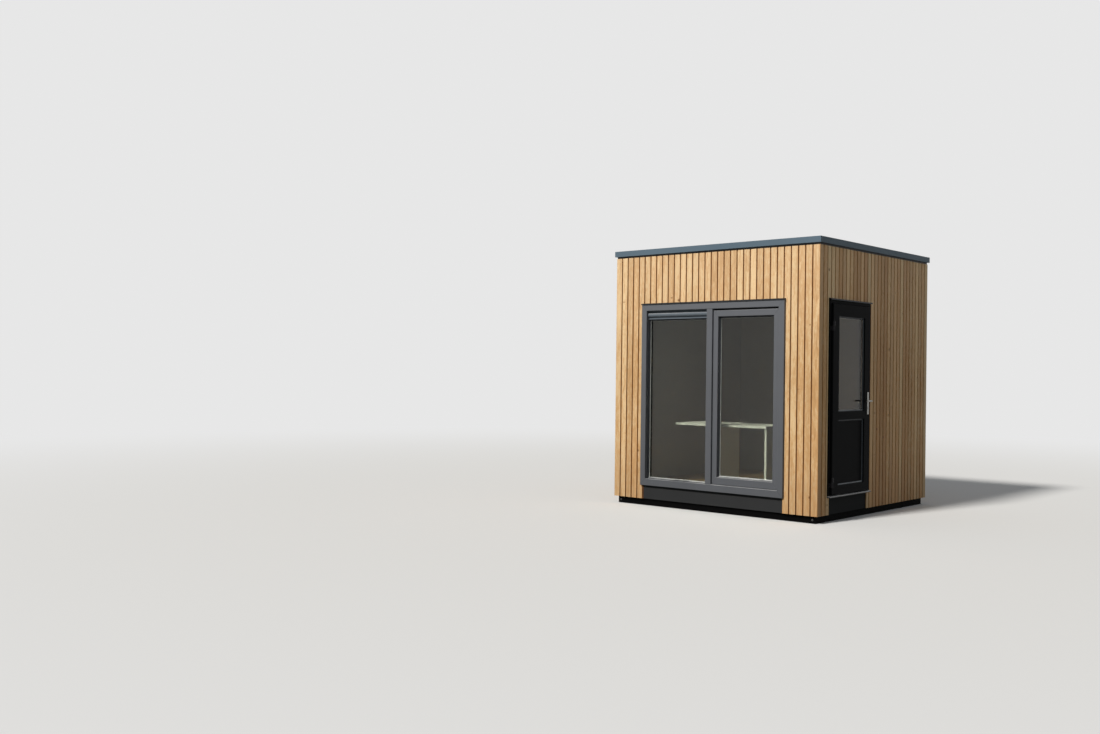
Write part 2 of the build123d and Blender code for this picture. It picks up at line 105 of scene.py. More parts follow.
class Wire:
    """A value or vector that varies over a surface, with the arithmetic that shader maths needs."""

    __add__, __radd__ = both_ways("ADD")
    __sub__, __rsub__ = both_ways("SUBTRACT")
    __mul__, __rmul__ = both_ways("MULTIPLY")
    __truediv__, __rtruediv__ = both_ways("DIVIDE")
    __pow__, __rpow__ = both_ways("POWER")
    __gt__, __lt__ = both_ways("GREATER_THAN")[0], both_ways("LESS_THAN")[0]
    most = both_ways("MAXIMUM")[0]

    def __init__(self, shader: "Shader", node: bpy.types.Node, which: Union[int, str] = 0) -> None:
        """Hold one output of a node."""
        self.shader, self.node, self.which = shader, node, which

    def out(self, which: Union[int, str]) -> "Wire":
        """Another output of the same node."""
        return Wire(self.shader, self.node, which)

    def maths(self, operation: str, *operands: Any) -> "Wire":
        """One Math node over the operands."""
        return self.shader.node("Math", {"operation": operation}, dict(enumerate(operands)))

    def __abs__(self) -> "Wire":
        """Size of self without its sign."""
        return self.maths("ABSOLUTE", self)

    def root(self) -> "Wire":
        """Square root."""
        return self.maths("SQRT", self)

    def fraction(self) -> "Wire":
        """What is left of self above the whole number under it."""
        return self.maths("FRACT", self)

    def whole(self) -> "Wire":
        """The whole number under self."""
        return self.maths("FLOOR", self)

    def bell(self, width: float) -> "Wire":
        """1 where self is 0, falling off over width as exp(-(self / width) squared)."""
        return self.maths("EXPONENT", self * self * (-1.0 / (width * width)))

    def rise(self, low: Any, high: Any) -> "Wire":
        """Smooth step: 0 at low, 1 at high, also where high is the smaller of the two."""
        inputs = {"Value": self, "From Min": low, "From Max": high}
        return self.shader.node("MapRange", {"interpolation_type": "SMOOTHSTEP"}, inputs)

    def scaled(self, x: float, y: float, z: float) -> "Wire":
        """A vector with each part multiplied."""
        return self.shader.node("VectorMath", {"operation": "MULTIPLY"}, {0: self, 1: (x, y, z)})

    def shifted(self, by: "Wire") -> "Wire":
        """A vector moved by another."""
        return self.shader.node("VectorMath", {"operation": "ADD"}, {0: self, 1: by})

    def parts(self) -> tuple["Wire", "Wire", "Wire"]:
        """The x, y and z of a vector."""
        split = self.shader.node("SeparateXYZ", inputs={0: self})
        return split, split.out(1), split.out(2)


class Shader:
    """A node tree being filled, with one method that adds every kind of node."""

    def __init__(self, tree: bpy.types.NodeTree) -> None:
        """Empty a tree, ready to be filled."""
        self.tree = tree
        tree.nodes.clear()

    def node(
        self,
        kind: str,
        settings: Optional[dict[str, Any]] = None,
        inputs: Optional[dict[Union[int, str], Any]] = None,
    ) -> Wire:
        """Add a node, settle its settings, then fill or link its sockets.

        Args:
            kind: the node's type, without the ShaderNode before it.
            settings: its own properties.
            inputs: a number, colour, vector or wire for each socket named or numbered.

        Returns:
            The node's first output.
        """
        made = self.tree.nodes.new("ShaderNode" + kind)
        for name, value in (settings or {}).items():
            setattr(made, name, value)
        for name, value in (inputs or {}).items():
            socket = made.inputs[name]
            if isinstance(value, Wire):
                self.tree.links.new(value.node.outputs[value.which], socket)
            else:
                socket.default_value = (*value, 1.0) if socket.type == "RGBA" else value
        return Wire(self, made)

    def place(self) -> Wire:
        """Object coordinates, in metres in the pod's own frame."""
        return self.node("TexCoord").out("Object")

    def normal_up(self) -> Wire:
        """How far the surface faces up, 1 on top, 0 on a wall."""
        return self.node("NewGeometry").out("Normal").parts()[2]

    def attribute(self, name: str) -> Wire:
        """A vector kept on the mesh's points."""
        return self.node("Attribute", {"attribute_name": name}).out("Vector")

    def noise(
        self, where: Wire, scale: Union[float, Triple], detail: float = 3.0, roughness: float = 0.55
    ) -> Wire:
        """Soft random values about 0.5.

        Args:
            where: the place that they belong to.
            scale: how many patches there are to a metre, on all axes or on each.
            detail: how many finer layers are added.
            roughness: how strong each finer layer is beside the one before.

        Returns:
            The values.
        """
        where = where.scaled(*(scale if isinstance(scale, tuple) else (scale, scale, scale)))
        inputs = {"Vector": where, "Scale": 1.0, "Detail": detail, "Roughness": roughness}
        return self.node("TexNoise", inputs=inputs)

    def chance(self, value: Wire) -> Wire:
        """A random value from 0 to 1 that belongs to a number."""
        return self.node("TexWhiteNoise", {"noise_dimensions": "1D"}, {"W": value})

    def blend(self, share: Any, low: Any, high: Any) -> Wire:
        """A colour between two, high where share is 1."""
        return self.node("Mix", {"data_type": "RGBA"}, {0: share, 6: low, 7: high}).out(2)

    def shade(self, colour: Any, factor: Wire) -> Wire:
        """A colour made lighter or darker by a number that varies."""
        grey = self.node("CombineXYZ", inputs={0: factor, 1: factor, 2: factor})
        return self.node("VectorMath", {"operation": "MULTIPLY"}, {0: colour, 1: grey})

    def bump(self, height: Wire, depth: float) -> Wire:
        """A normal that follows a height from 0 to 1, depth metres deep."""
        return self.node("Bump", inputs={"Strength": 1.0, "Distance": depth, "Height": height})

    def seen(self) -> Wire:
        """1 for rays from the camera, off glossy surfaces and through glass."""
        path = self.node("LightPath")
        return path.out("Is Camera Ray").most(path.out("Is Glossy Ray")).most(path.out("Is Transmission Ray"))

    def principled(self, **sockets: Any) -> Wire:
        """A physically based surface, its sockets named with _ for a blank."""
        inputs = {name.replace("_", " ").title().replace("Ior", "IOR"): sockets[name] for name in sockets}
        return self.node("BsdfPrincipled", inputs=inputs)

    def output(self, surface: Wire, kind: str = "OutputMaterial") -> None:
        """End the tree in a surface."""
        self.node(kind, inputs={"Surface": surface})

    def surface(self, **sockets: Any) -> None:
        """End the tree in one physically based surface."""
        self.output(self.principled(**sockets))


@dataclass(frozen=True)
class Finish:
    """A finish of the pod or the studio, made into a material once and shared by what wears it."""

    name: str

    def fill(self, s: Shader) -> None:
        """Fill the finish's empty shader, in each finish's own way."""
        raise NotImplementedError

    @cache
    def build(self) -> bpy.types.Material:
        """Make the finish's material, the first time that it is asked for.

        Returns:
            The material.
        """
        material = bpy.data.materials.new(self.name)
        material.use_nodes = True
        self.fill(Shader(material.node_tree))
        return material


@dataclass(frozen=True)
class StainedBoards(Finish):
    """Softwood boards with a clear honey stain, their grain read from the mesh's own log coordinates.

    Each point carries three vectors: "log" is the place in the log that the board was sawn from,
    "board" is three random values of its board, and "edge" is the place on the board, -1 to 1
    across, depth under the face in metres, and height.
    """

    name: str = "stained_boards"
    pale: Colour = (0.87, 0.63, 0.355)
    middle: Colour = (0.62, 0.365, 0.16)
    deep: Colour = (0.40, 0.205, 0.08)
    warm: Colour = (0.60, 0.315, 0.13)
    knot: Colour = (0.20, 0.095, 0.04)
    # tongue: painted shade, the dark brown of the same wood deep in the gaps
    tongue: Colour = (0.16, 0.058, 0.014)
    # along the boards' edges: painted shade, warm like light bounced in the gaps, and stain gathered at the
    # edges
    gap_shade_and_stain: Colour = (0.42, 0.17, 0.03)
    paler_top: Colour = (0.92, 0.76, 0.56)
    ring_width: float = 0.0042
    knot_cell: float = 0.34
    knot_luck: float = 0.91
    knot_least: float = 0.0035
    knot_more: float = 0.009
    halo: float = 0.014
    relief: float = 0.0004

    def fill(self, s: Shader) -> None:
        """Rings and knots of the log and the stain over them, paler towards the top and darker towards the
        foot and in streaks under the roof edge, with painted shade in the gaps between the boards.

        Args:
            s: the shader, empty.
        """
        log_place, board, edge = s.attribute("log"), s.attribute("board"), s.attribute("edge")
        tone, warmth, luck = board.parts()
        across, depth, height = edge.parts()
        x, _, z = log_place.parts()
        cells = {"Vector": log_place.scaled(1 / self.knot_cell, 1 / self.knot_cell, 0.0), "Scale": 1.0}
        voronoi = s.node("TexVoronoi", {"voronoi_dimensions": "2D"}, cells)
        cell_luck, cell_size, _ = voronoi.out("Color").parts()
        away = voronoi.out("Distance") * self.knot_cell + (1 - (cell_luck > self.knot_luck))
        knot_radius = cell_size * cell_size * self.knot_more + self.knot_least
        wander = s.noise(log_place, (9.0, 1.3, 9.0), 2.0) - 0.5
        ring_place = (x * x + z * z).root() + wander * 0.030 + away.bell(0.022) * 0.010
        ring = (ring_place / self.ring_width).fraction()
        late = ring ** 3.0 * (1 - ring.rise(0.93, 1.0) * 0.6)
        streak = s.noise(log_place, (85.0, 0.8, 85.0), 6.0, 0.68)
        fibre = s.noise(log_place, (700.0, 6.0, 700.0), 3.0, 0.6)
        patch = s.noise(log_place, (14.0, 2.4, 14.0))
        mottle = s.noise(log_place, (52.0, 16.0, 52.0))
        figure = (streak - 0.5) * 1.5 + (patch - 0.5) * 1.7 + (mottle - 0.5) * 2.3
        mixed = late * 0.75 + figure + tone * 1.3 - 0.44
        # paler towards the top of the wall
        toward_top = height.rise(1.3, 2.9)
        knotty = away.rise(knot_radius + 0.0015, knot_radius - 0.0015)
        colour = self.pale
        for share, stain in (
            (mixed.rise(-0.3, 0.75), self.middle),
            (mixed.rise(0.55, 1.5) * 0.7, self.deep),
            # warmer towards the foot
            (warmth * warmth * 0.4 + height.rise(1.0, 0.1) * 0.25, self.warm),
            (toward_top * 0.12, self.paler_top),
            (away.rise(knot_radius + self.halo, knot_radius) * 0.45, self.deep),
            (knotty * 0.8, self.knot),
            # the boards' edges beside the gaps: painted shade, warm like bounced light, with gathered stain
            (abs(across).rise(0.8, 1.0) * 0.5, self.gap_shade_and_stain),
            # painted shade on the tongues, deep in the gaps between the boards
            (depth.rise(0.003, 0.0095), self.tongue),
        ):
            colour = s.blend(share, colour, stain)
        drips = s.noise(s.place(), (26.0, 26.0, 1.1), 2.0).rise(0.45, 0.75)
        # darker towards the foot, and in streaks just under the roof edge
        darker_ends = height.rise(0.9, 0.08) * (0.13 + drips * 0.14) + height.rise(2.5, 2.915) * drips * 0.10
        grain = (fibre - 0.5) * 0.6 + (mottle - 0.5) * 0.45
        factor = 1 + grain + (luck - 0.5) * 0.2 + toward_top * 0.17 - darker_ends
        s.surface(
            base_color=s.shade(colour, factor),
            roughness=0.58 + (streak - 0.5) * 0.3 - knotty * 0.12,
            normal=s.bump(0.5 - late * 0.25 + (fibre - 0.5) * 0.5 + knotty * 0.2, self.relief),
            specular_ior_level=0.3,
        )


class SeamPlane(Enum):
    """The two coordinates of the pod in which a coating's joints are drawn."""

    FRONT = "x and height"
    FRONT_MIRRORED = "size of x, and height"
    ROOF_MIRRORED = "size of x, and size of y"

    def spots(self, place: Wire) -> tuple[Wire, Wire]:
        """Both coordinates of a place."""
        x, y, z = place.parts()
        return x if self is SeamPlane.FRONT else abs(x), abs(y) if self is SeamPlane.ROOF_MIRRORED else z


@dataclass(frozen=True)
class Seam:
    """A hairline joint from an outer corner to an inner one."""

    outer: Pair
    inner: Pair
    width: float = 0.0007

    def line(self, a: Wire, b: Wire) -> Wire:
        """The joint, from the distance to its line: |(a - a0) v - (b - b0) u| for a direction (u, v).

        Args:
            a: the first coordinate of the joint's plane.
            b: the second.

        Returns:
            1 on the joint, 0 away from it.
        """
        run, climb = self.inner[0] - self.outer[0], self.inner[1] - self.outer[1]
        long = math.hypot(run, climb)
        away = (a - self.outer[0]) * (climb / long) - (b - self.outer[1]) * (run / long)
        beside = abs(a - (self.outer[0] + self.inner[0]) / 2) < abs(run) / 2 + self.width
        return away.bell(self.width) * beside


@dataclass(frozen=True)
class CoatedMetal(Finish):
    """Powder-coated or painted metal: fine orange peel, rain streaks, dust on what faces up, which with a
    pale dust colour is a painted highlight, and joints.

    The coating is painted lighter for each metre over its middle height, as a painted reflection of the sky.
    """

    colour: Colour
    roughness: float = 0.42
    # dust: dust on what faces up, and where it is pale a painted highlight
    dust: Colour = (0.42, 0.40, 0.36)
    dust_and_highlight_share: float = 0.22
    film_share: float = 0.05
    specular: float = 0.45
    peel_depth: float = 0.00012
    painted_sky_sheen: float = 0.0
    sky_sheen_middle_height: float = 1.3
    seam_plane: SeamPlane = SeamPlane.FRONT
    seams: tuple[Seam, ...] = ()

    def fill(self, s: Shader) -> None:
        """Clouds, streaks and peel in the coating, dust and film over it, painted highlights on what faces up
        where the dust colour is pale, and its joints cut in.

        Args:
            s: the shader, empty.
        """
        place = s.place()
        cloud = s.noise(place, 1.7)
        rain = s.noise(place, (38.0, 38.0, 1.6))
        peel = s.noise(place, 700.0, 1.0)
        # dust on what faces up; the window's and door's pale dust colours make it a painted highlight
        upward_dust_and_highlight = s.normal_up().rise(0.2, 0.9) * cloud.rise(0.25, 0.75) * self.dust_and_highlight_share
        film = rain.rise(0.55, 0.85) * self.film_share
        # painted sky reflection: the coating lighter towards the top
        painted_sky_sheen = (place.parts()[2] - self.sky_sheen_middle_height) * self.painted_sky_sheen
        colour = s.shade(self.colour, 1 + (cloud - 0.5) * 0.22 + (peel - 0.5) * 0.06 + painted_sky_sheen)
        colour = s.blend(upward_dust_and_highlight + film, colour, self.dust)
        relief = peel
        if self.seams:
            spots = self.seam_plane.spots(place)
            joint = reduce(Wire.most, [seam.line(*spots) for seam in self.seams])
            colour = s.shade(colour, 1 - joint * 0.75)
            relief = peel - joint * 3.0
        s.surface(
            base_color=colour,
            roughness=self.roughness + (rain - 0.5) * 0.12 + upward_dust_and_highlight * 1.2,
            normal=s.bump(relief, self.peel_depth),
            specular_ior_level=self.specular,
        )


@dataclass(frozen=True)
class BrushedMetal(Finish):
    """Satin metal with fine lines brushed up and down."""

    colour: Colour
    roughness: float = 0.32

    def fill(self, s: Shader) -> None:
        """Brushed lines and the smears of hands over them.

        Args:
            s: the shader, empty.
        """
        place = s.place()
        lines = s.noise(place, (1400.0, 1400.0, 25.0), 2.0)
        smear = s.noise(place, 22.0)
        s.surface(
            base_color=s.shade(self.colour, 1 + (lines - 0.5) * 0.18 + (smear - 0.5) * 0.12),
            roughness=self.roughness + (lines - 0.5) * 0.2 + (smear - 0.5) * 0.16,
            metallic=0.95,
            normal=s.bump(lines, 0.00006),
        )


@dataclass(frozen=True)
class TreadShadedBelow(Finish):
    """Threshold metal, dark below a height as painted shade and bright metal from that height up, with scuffs
    across it.
    """

    name: str = "tread_shaded_below"
    # dark: painted shade on the lower part of the threshold
    dark: Colour = (0.055, 0.056, 0.058)
    bright: Colour = (0.38, 0.39, 0.40)
    edge: float = 0.2705

    def fill(self, s: Shader) -> None:
        """Scuffs, and the bright metal from the edge's height up, with painted shade below it.

        Args:
            s: the shader, empty.
        """
        place = s.place()
        scuff = s.noise(place, (300.0, 14.0, 300.0))
        metal_nose = (place.parts()[2] + (scuff - 0.5) * 0.002).rise(self.edge, self.edge + 0.0012)
        s.surface(
            # painted shade below the edge's height, bright metal above it
            base_color=s.shade(s.blend(metal_nose, self.dark, self.bright), 1 + (scuff - 0.5) * 0.5),
            roughness=0.52 + (scuff - 0.5) * 0.3,
            metallic=0.35 + metal_nose * 0.55,
            normal=s.bump(scuff, 0.0001),
        )


@dataclass(frozen=True)
class WallPanel(Finish):
    """Insulated panel: black weather membrane from a distance out, painted lining inside."""

    name: str = "wall_panel"
    membrane: Colour = (0.02, 0.02, 0.021)
    lining: Colour = (0.47, 0.46, 0.44)
    outer: float = 1.2975

    def fill(self, s: Shader) -> None:
        """Roller marks and soft clouds in the paint, and the membrane outside.

        Args:
            s: the shader, empty.
        """
        place = s.place()
        x, y, _ = place.parts()
        outside = abs(x).most(abs(y)) > self.outer
        roller = s.noise(place, 420.0, 2.0)
        lining = s.shade(self.lining, 1 + (s.noise(place, 2.1) - 0.5) * 0.10 + (roller - 0.5) * 0.05)
        s.surface(
            base_color=s.blend(outside, lining, self.membrane),
            roughness=0.72 - outside * 0.15,
            normal=s.bump(roller, 0.0002),
        )


@dataclass(frozen=True)
class OakBoards(Finish):
    """Laid oak boards that run along Y, each with its own tone, and dark joints between them."""

    name: str = "oak_floor"
    pale: Colour = (0.47, 0.31, 0.17)
    deep: Colour = (0.27, 0.155, 0.075)
    width: float = 0.13
    length: float = 1.2
    joint: float = 0.0012

    def fill(self, s: Shader) -> None:
        """Boards in rows that start at random, with grain and pores of their own.

        Args:
            s: the shader, empty.
        """
        place = s.place()
        x, y, _ = place.parts()
        row = (x / self.width).whole()
        run = y / self.length + s.chance(row)
        board = s.chance(row * 7.31 + run.whole())
        local = place.shifted(s.node("CombineXYZ", inputs={0: board * 9.0, 1: board * 31.0, 2: 0.0}))
        grain = s.noise(local, (55.0, 2.2, 55.0), 4.0)
        pore = s.noise(local, (800.0, 22.0, 800.0), 2.0)
        side = abs((x / self.width).fraction() - 0.5) * self.width
        end = abs(run.fraction() - 0.5) * self.length
        gap = side.rise(self.width / 2 - self.joint, self.width / 2)
        gap = gap.most(end.rise(self.length / 2 - self.joint, self.length / 2))
        colour = s.blend((grain - 0.5) * 1.6 + board * 0.7, self.pale, self.deep)
        s.surface(
            base_color=s.shade(colour, (1 + (pore - 0.5) * 0.25) * (1 - gap * 0.75)),
            roughness=0.38 + (pore - 0.5) * 0.2,
            normal=s.bump(pore * 0.3 + (1 - gap) * 0.7, 0.0006),
        )


@dataclass(frozen=True)
class RoofRubber(Finish):
    """Dark roof sheet with dirt along its laps and dust in its hollows."""

    name: str = "roof_rubber"
    colour: Colour = (0.035, 0.037, 0.04)
    dust: Colour = (0.13, 0.125, 0.115)
    sheet: float = 0.85

    def fill(self, s: Shader) -> None:
        """Dried puddles, grit and ripples, darker where a sheet ends.

        Args:
            s: the shader, empty.
        """
        place = s.place()
        ripple = s.noise(place, 5.0, 2.0)
        grit = s.noise(place, 260.0, 2.0)
        puddle = s.noise(place, 1.3, 4.0)
        over = (place.parts()[0] / self.sheet + 0.5).fraction() * self.sheet
        edge = over.bell(0.006) + (self.sheet - over).bell(0.004)
        dirt = puddle.rise(0.42, 0.7) * 0.7 + (grit - 0.5) * 0.5
        s.surface(
            base_color=s.shade(s.blend(dirt, self.colour, self.dust), 1 - edge * 0.4),
            roughness=0.62 + (grit - 0.5) * 0.2,
            normal=s.bump(grit * 0.1 + ripple * 0.4, 0.003),
        )


@dataclass(frozen=True)
class Laminate(Finish):
    """Smooth matt board or plastic, with the faint mottle of a pressed face."""

    colour: Colour
    roughness: float = 0.45

    def fill(self, s: Shader) -> None:
        """Fine mottle and soft clouds.

        Args:
            s: the shader, empty.
        """
        place = s.place()
        mottle = s.noise(place, 350.0, 2.0)
        cloud = s.noise(place, 4.0, 2.0)
        s.surface(
            base_color=s.shade(self.colour, 1 + (mottle - 0.5) * 0.06 + (cloud - 0.5) * 0.06),
            roughness=self.roughness + (mottle - 0.5) * 0.12,
            normal=s.bump(mottle, 0.00008),
        )


@dataclass(frozen=True)
class TintedGlass(Finish):
    """Solar-control double glazing: clear to look through, with a grey-green tint and a faint smear.

    The light of lamps comes through to the room almost whole, in the lamp tint.
    """

    name: str = "tinted_glass"
    tint: Colour = (0.37, 0.38, 0.35)
    lamp_tint: Colour = (0.95, 0.98, 0.90)
    mirror_index: float = 1.45

    def fill(self, s: Shader) -> None:
        """Smeared glass to look through, and a clear pane for the rays that find shadows.

        Args:
            s: the shader, empty.
        """
        smear = s.noise(s.place(), (3.0, 3.0, 9.0))
        pane = s.principled(
            base_color=self.tint,
            roughness=smear.rise(0.45, 0.9) * 0.04,
            transmission_weight=1.0,
            ior=self.mirror_index,
        )
        clear = s.node("BsdfTransparent", inputs={"Color": self.lamp_tint})
        shadow = s.node("LightPath").out("Is Shadow Ray")
        s.output(s.node("MixShader", inputs={0: shadow, 1: pane, 2: clear}))


@dataclass(frozen=True)
class SealRubber(Finish):
    """Black rubber of seals and gaskets, a little dusty along its length."""

    colour: Colour = (0.012, 0.012, 0.013)
    dust: Colour = (0.09, 0.088, 0.08)

    def fill(self, s: Shader) -> None:
        """A film of dust over fine grain.

        Args:
            s: the shader, empty.
        """
        place = s.place()
        film = s.noise(place, 60.0)
        s.surface(
            base_color=s.blend(film.rise(0.5, 0.8) * 0.4, self.colour, self.dust),
            roughness=0.62 + (film - 0.5) * 0.2,
            normal=s.bump(s.noise(place, 1500.0, 1.0), 0.00008),
            specular_ior_level=0.3,
        )


@dataclass
class Shape:
    """Points and faces of a surface, with vectors kept on its points."""

    points: np.ndarray
    faces: list[list[int]]
    kept: dict[str, np.ndarray] = field(default_factory=dict)

    def outward(self) -> "Shape":
        """Turn a closed shape's faces out: they are flipped where its volume is negative.

        The volume is a sixth of the sum, over the triangles of each face's fan, of a . (b x c).

        Returns:
            The shape itself.
        """
        fans = [(f[0], f[i], f[i + 1]) for f in self.faces for i in range(1, len(f) - 1)]
        a, b, c = (self.points[np.array(fans)[:, i]] for i in range(3))
        if np.einsum("ij,ij->i", a, np.cross(b, c)).sum() < 0:
            self.faces = [face[::-1] for face in self.faces]
        return self


def grid_faces(rows: int, columns: int, round_rows: bool = False) -> np.ndarray:
    """Four-sided faces of a grid of rows of points, each row closed on itself.

    Corner numbers are row * columns + column, with the last column joined to the first.

    Args:
        rows: how many rows of points.
        columns: how many points in each row.
        round_rows: whether the last row is joined to the first as well.

    Returns:
        An array of faces, four corners each.
    """
    row, column = np.meshgrid(np.arange(rows if round_rows else rows - 1), np.arange(columns), indexing="ij")
    after, above = (column + 1) % columns, (row + 1) % rows
    corners = (row * columns + column, row * columns + after)
    upper = (above * columns + after, above * columns + column)
    return np.stack((*corners, *upper), axis=-1).reshape(-1, 4)


def loft(rings: np.ndarray, kept: Optional[dict[str, np.ndarray]] = None, least_area: float = 1e-10) -> Shape:
    """A closed solid through rings of points, the first and the last ring filled.

    Args:
        rings: an array of rings by points by three.
        kept: vectors of the same size as the rings, to be kept on the points.
        least_area: twice the area under which a face is left out, because its ends meet.

    Returns:
        The solid.
    """
    count, size = rings.shape[:2]
    points = rings.reshape(-1, 3)
    sides = grid_faces(count, size)
    a, b, c, d = (points[sides[:, i]] for i in range(4))
    sides = sides[np.linalg.norm(np.cross(c - a, d - b), axis=1) > least_area]
    caps = [list(range(size))[::-1], list(range((count - 1) * size, count * size))]
    kept = {name: values.reshape(-1, 3) for name, values in (kept or {}).items()}
    return Shape(points, sides.tolist() + caps, kept).outward()


def ring(wall: Wall, middle: Pair, size: Pair, profile: np.ndarray) -> Shape:
    """A mitred ring on a wall: a closed profile carried round a rectangle.

    Each profile point is an inset i and a distance out d. At the four corners it stands at
    across = middle +- (width / 2 - i), height = middle +- (height / 2 - i), out = d.

    Args:
        wall: the wall that the ring is on.
        middle: the rectangle's middle, across and height.
        size: its width and height.
        profile: rows of inset and distance out from the pod's middle, round the profile.

    Returns:
        The ring.
    """
    side = np.array((-1.0, 1.0, 1.0, -1.0))[:, None]
    level = np.array((-1.0, -1.0, 1.0, 1.0))[:, None]
    across = middle[0] + side * (size[0] / 2 - profile[:, 0])
    height = middle[1] + level * (size[1] / 2 - profile[:, 0])
    points = wall.place(across, profile[:, 1], height)
    return Shape(points.reshape(-1, 3), grid_faces(4, len(profile), round_rows=True).tolist()).outward()


def circle(inset: float, out: float, radius: float, count: int = 10) -> np.ndarray:
    """A small round profile about (inset, out): inset + radius cos t, out + radius sin t."""
    turn = np.arange(count) * math.tau / count
    return np.stack((inset + radius * np.cos(turn), out + radius * np.sin(turn)), axis=1)


def bar(wall: Wall, across: Pair, out: Pair, height: Pair, ease: float = 0.0015) -> Shape:
    """A straight bar along a wall: a rectangle with its four corners cut, carried from end to end.

    Args:
        wall: the wall that the bar is on.
        across: its two ends along the wall.
        out: its back and front, from the pod's middle.
        height: its bottom and top.
        ease: how much is taken off each long edge.

    Returns:
        The bar.
    """
    (back, front), (low, high) = out, height
    depth = (back + ease, front - ease, front, front, front - ease, back + ease, back, back)
    level = (low, low, low + ease, high - ease, high, high, high - ease, low + ease)
    return loft(wall.place(np.array(across)[:, None], np.array(depth), np.array(level)))


def show(name: str, data: bpy.types.ID) -> bpy.types.Object:
    """Show a mesh, lamp or camera in the scene, at the origin.

    Args:
        name: the name of its object.
        data: the mesh, lamp or camera.

    Returns:
        The object.
    """
    shown = bpy.data.objects.new(name, data)
    bpy.context.scene.collection.objects.link(shown)
    return shown


def add_piece(
    name: str,
    shapes: Sequence[Shape],
    finish: Finish,
    body: str = "pod",
    replaces: Sequence[str] = (),
) -> None:
    """Make one piece of the pod from shapes, dress it and let it ride on its body.

    Args:
        name: the piece's name.
        shapes: its shapes, in place.
        finish: its finish.
        body: the body that the piece moves with.
        replaces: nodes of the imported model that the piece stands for.
    """
    starts = np.cumsum([0] + [len(shape.points) for shape in shapes])
    faces = [[int(start) + i for i in face] for shape, start in zip(shapes, starts) for face in shape.faces]
    mesh = bpy.data.meshes.new(name)
    mesh.from_pydata(np.concatenate([shape.points for shape in shapes]).tolist(), [], faces)
    for kept_name in shapes[0].kept:
        values = np.concatenate([shape.kept[kept_name] for shape in shapes]).astype(np.float32)
        mesh.attributes.new(kept_name, "FLOAT_VECTOR", "POINT").data.foreach_set("vector", values.ravel())
    mesh.materials.append(finish.build())
    mesh.validate()
    piece = show(name, mesh)
    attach(piece, body)
    if replaces:
        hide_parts(*replaces)
    log.info("%s: %d points, %d faces, on %s", name, starts[-1], len(faces), body)


def dress(finish: Finish, *nodes: str) -> None:
    """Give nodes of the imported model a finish, in place of the plain one they came with.

    Args:
        finish: the finish.
        nodes: the nodes' names.
    """
    for name in nodes:
        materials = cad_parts[name].data.materials
        materials.clear()
        materials.append(finish.build())
        log.info("%s: dressed in %s", name, finish.name)


@dataclass(frozen=True)
class Cut:
    """Where a wall's boards stop short: from left to right along the wall, between two heights."""

    left: float
    right: float
    bottom: float
    top: float


